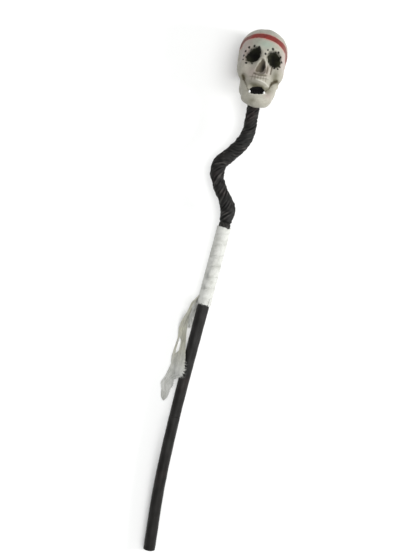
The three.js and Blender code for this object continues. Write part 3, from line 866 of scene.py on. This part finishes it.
# Loose threads at the torn edges and at both ends of the wound part
THREAD_RADIUS = 0.2
thread_points, thread_faces = [], []
random = np.random.default_rng(81)


def add_thread(path):
    """A closed three-sided tube along a path, thinner at its free end."""
    ahead = np.gradient(path, axis=0)
    ahead /= np.linalg.norm(ahead, axis=1, keepdims=True)
    side = np.cross(ahead, (0.31, 0.17, 0.93))
    side /= np.linalg.norm(side, axis=1, keepdims=True)
    turn = np.arange(3) * TURN / 3
    ring = np.cos(turn)[:, None] * side[:, None] + np.sin(turn)[:, None] * np.cross(side, ahead)[:, None]
    radius = np.linspace(THREAD_RADIUS, 0.45 * THREAD_RADIUS, len(path))
    base = sum(len(part) for part in thread_points)
    last = base + 3 * (len(path) - 1)
    thread_points.append((path[:, None] + radius[:, None, None] * ring).reshape(-1, 3))
    thread_faces.extend((quads(len(path), 3, True) + base).tolist())
    thread_faces.extend([[base, base + 1, base + 2], [last + 2, last + 1, last]])


def hang_thread(start, heading, length, sag):
    reach = np.linspace(0, 1, 7)[:, None]
    bend = np.cross(heading, (0, 0, 1)) * random.uniform(-0.3, 0.3)
    path = start + length * (heading * reach + bend * reach ** 2)
    path[:, 2] -= sag * length * reach[:, 0] ** 2
    path[:, 2] = np.maximum(path[:, 2], 0.35)
    add_thread(path)


def unit(vector):
    return vector / (np.linalg.norm(vector) + 1e-9)


def fray(sheet, rows, column, inner, lengths, splay):
    """Threads from places down one edge of a sheet, outwards and towards its free end."""
    for row in rows:
        outwards = unit(sheet[row, column] - sheet[row, inner])
        onwards = unit(sheet[min(row + 3, len(sheet) - 1), column] - sheet[row - 3, column])
        share = random.uniform(*splay)
        heading = unit(outwards * (1 - share) + onwards * share)
        hang_thread(sheet[row, column], heading, random.uniform(*lengths), random.uniform(0, 0.4))


torn_rows = np.flatnonzero(long_torn > 0.4)
fray(long_tail, random.choice(torn_rows, 46), -1, -6, (2.5, 7), (0.05, 0.8))
fray(long_tail, random.integers(30, 215, 16), 0, 5, (1.5, 4), (0.6, 0.95))
fray(long_tail, random.integers(190, 226, 14), -1, -6, (1.5, 4.5), (0.4, 0.95))
fray(tail, random.integers(40, 66, 10), -1, -4, (1.5, 4), (0.4, 0.95))
for column in random.integers(0, 17, 12):
    fray(tail, [68], column, 8, (2, 5), (0.8, 1))
for column in random.integers(5, 55, 12):
    fray(long_tail, [227], column, 30, (2, 4.5), (0.85, 1))
for start_y, way, count, radius_there, lengths in ((WRAP_FROM_Y + 1.5, -1, 40, 14.1, (2.5, 6)),
                                                   (WRAP_TO_Y - 2, 1, 30, 14.6, (2.5, 5))):
    for _ in range(count):
        reach = np.linspace(0, 1, 6)
        angle = random.uniform(0, TURN) + random.uniform(-0.25, 0.25) * reach
        there = travelled_at(start_y) + way * random.uniform(*lengths) * reach
        add_thread(round_shaft(there, angle, radius_there + 0.3 + 0.4 * np.sin(3 * reach)))

gauze = Shader("gauze_cloth", 0.9, Specular_IOR_Level=0.2, Sheen_Weight=0.15, Sheen_Roughness=0.5)
weave_at = gauze.vector("weave")
where_on = gauze.place()
blotch = gauze.noise(where_on, 45, 5, 0.6)
streaks = gauze.noise(gauze.stretched(where_on, (1, 0.25, 1)), 190, 4, 0.6)
soft = gauze.noise(where_on, 150, 4, 0.6)
stain = gauze.math("MULTIPLY", gauze.attribute("stain"), gauze.span(blotch, 0.3, 0.6, 0.4, 1))
colour = gauze.mix(gauze.span(blotch, 0.34, 0.60), (0.43, 0.435, 0.405), (0.565, 0.57, 0.55))
colour = gauze.mix(stain, colour, (0.46, 0.45, 0.355))
colour = gauze.mix(gauze.span(streaks, 0.50, 0.70, 0, 0.35), colour, (0.33, 0.33, 0.305))
colour = gauze.mix(gauze.attribute("grey"), colour, (0.25, 0.255, 0.24))
parts = gauze.node("SeparateXYZ", {"Vector": weave_at})
threads = []
for output in ("X", "Y"):
    wobble = gauze.math("MULTIPLY", soft, 2.2)
    wave = gauze.math("SINE", gauze.math("MULTIPLY", gauze.math("ADD", parts.outputs[output], wobble), 6.6))
    threads.append(gauze.math("ABSOLUTE", wave))
weft = gauze.math("MAXIMUM", *threads)
gauze.colour(gauze.mix(gauze.span(weft, 0.75, 0.35, 0, 0.25), colour, (0.30, 0.30, 0.275)))
gauze.normal(gauze.bump(soft, 0.0016, 0.5, gauze.bump(weft, 0.0004, 0.5)))

cloth = make_piece("gauze_strip", place(np.vstack(strip_points)), np.vstack(strip_faces), gauze,
                   ["gauze_wrap"], {"stain": np.concatenate(strip_stain), "grey": np.concatenate(strip_grey)},
                   {"weave": np.vstack(strip_weave)})
thick = cloth.modifiers.new("cloth_thickness", "SOLIDIFY")
thick.thickness = 0.45 * MM
thick.offset = 0

loose = make_piece("gauze_threads", place(np.vstack(thread_points)), thread_faces, gauze, (),
                   {"stain": np.full(sum(map(len, thread_points)), 0.1)})


# Stage, light and camera

floor_shader = Shader("floor_paper", 0.9, Specular_IOR_Level=0.1)
paper = floor_shader.noise(floor_shader.place(), 3, 2)
floor_shader.colour(floor_shader.mix(paper, (0.90, 0.90, 0.89), (0.93, 0.93, 0.92)))
mesh = bpy.data.meshes.new("floor")
mesh.from_pydata([(-9, -9, -0.0004), (9, -9, -0.0004), (9, 9, -0.0004), (-9, 9, -0.0004)], [], [(0, 1, 2, 3)])
mesh.materials.append(floor_shader.material)
floor = bpy.data.objects.new("floor", mesh)
bpy.context.scene.collection.objects.link(floor)

world = bpy.data.worlds.new("studio")
world.use_nodes = True
world.node_tree.nodes["Background"].inputs["Color"].default_value = (0.98, 0.99, 1.0, 1)
world.node_tree.nodes["Background"].inputs["Strength"].default_value = 0.62
bpy.context.scene.world = world


def area_light(name, at, aim, size, watts, tint=(1, 1, 1)):
    light = bpy.data.lights.new(name, "AREA")
    light.shape = "DISK"
    light.size = size
    light.energy = watts
    light.color = tint
    lamp = bpy.data.objects.new(name, light)
    lamp.location = at
    lamp.rotation_euler = (Vector(aim) - Vector(at)).to_track_quat("-Z", "Y").to_euler()
    bpy.context.scene.collection.objects.link(lamp)


area_light("overhead", (0.7, 0.1, 2.6), (0, 0.1, 0), 2.4, 48)
area_light("side", (2.3, 0.3, 1.05), (0, 0.1, 0), 0.7, 45)

# The camera looks straight down on the staff, turned so that the staff leans as it does in the photo
camera_data = bpy.data.cameras.new("camera")
camera_data.lens = 54.71
camera = bpy.data.objects.new("camera", camera_data)
camera.location = (-0.0013, 0.0297, 1.95)
camera.rotation_euler = (0, 0, math.radians(12.25))
bpy.context.scene.collection.objects.link(camera)
bpy.context.scene.camera = camera
bpy.context.scene.view_settings.view_transform = "Standard"
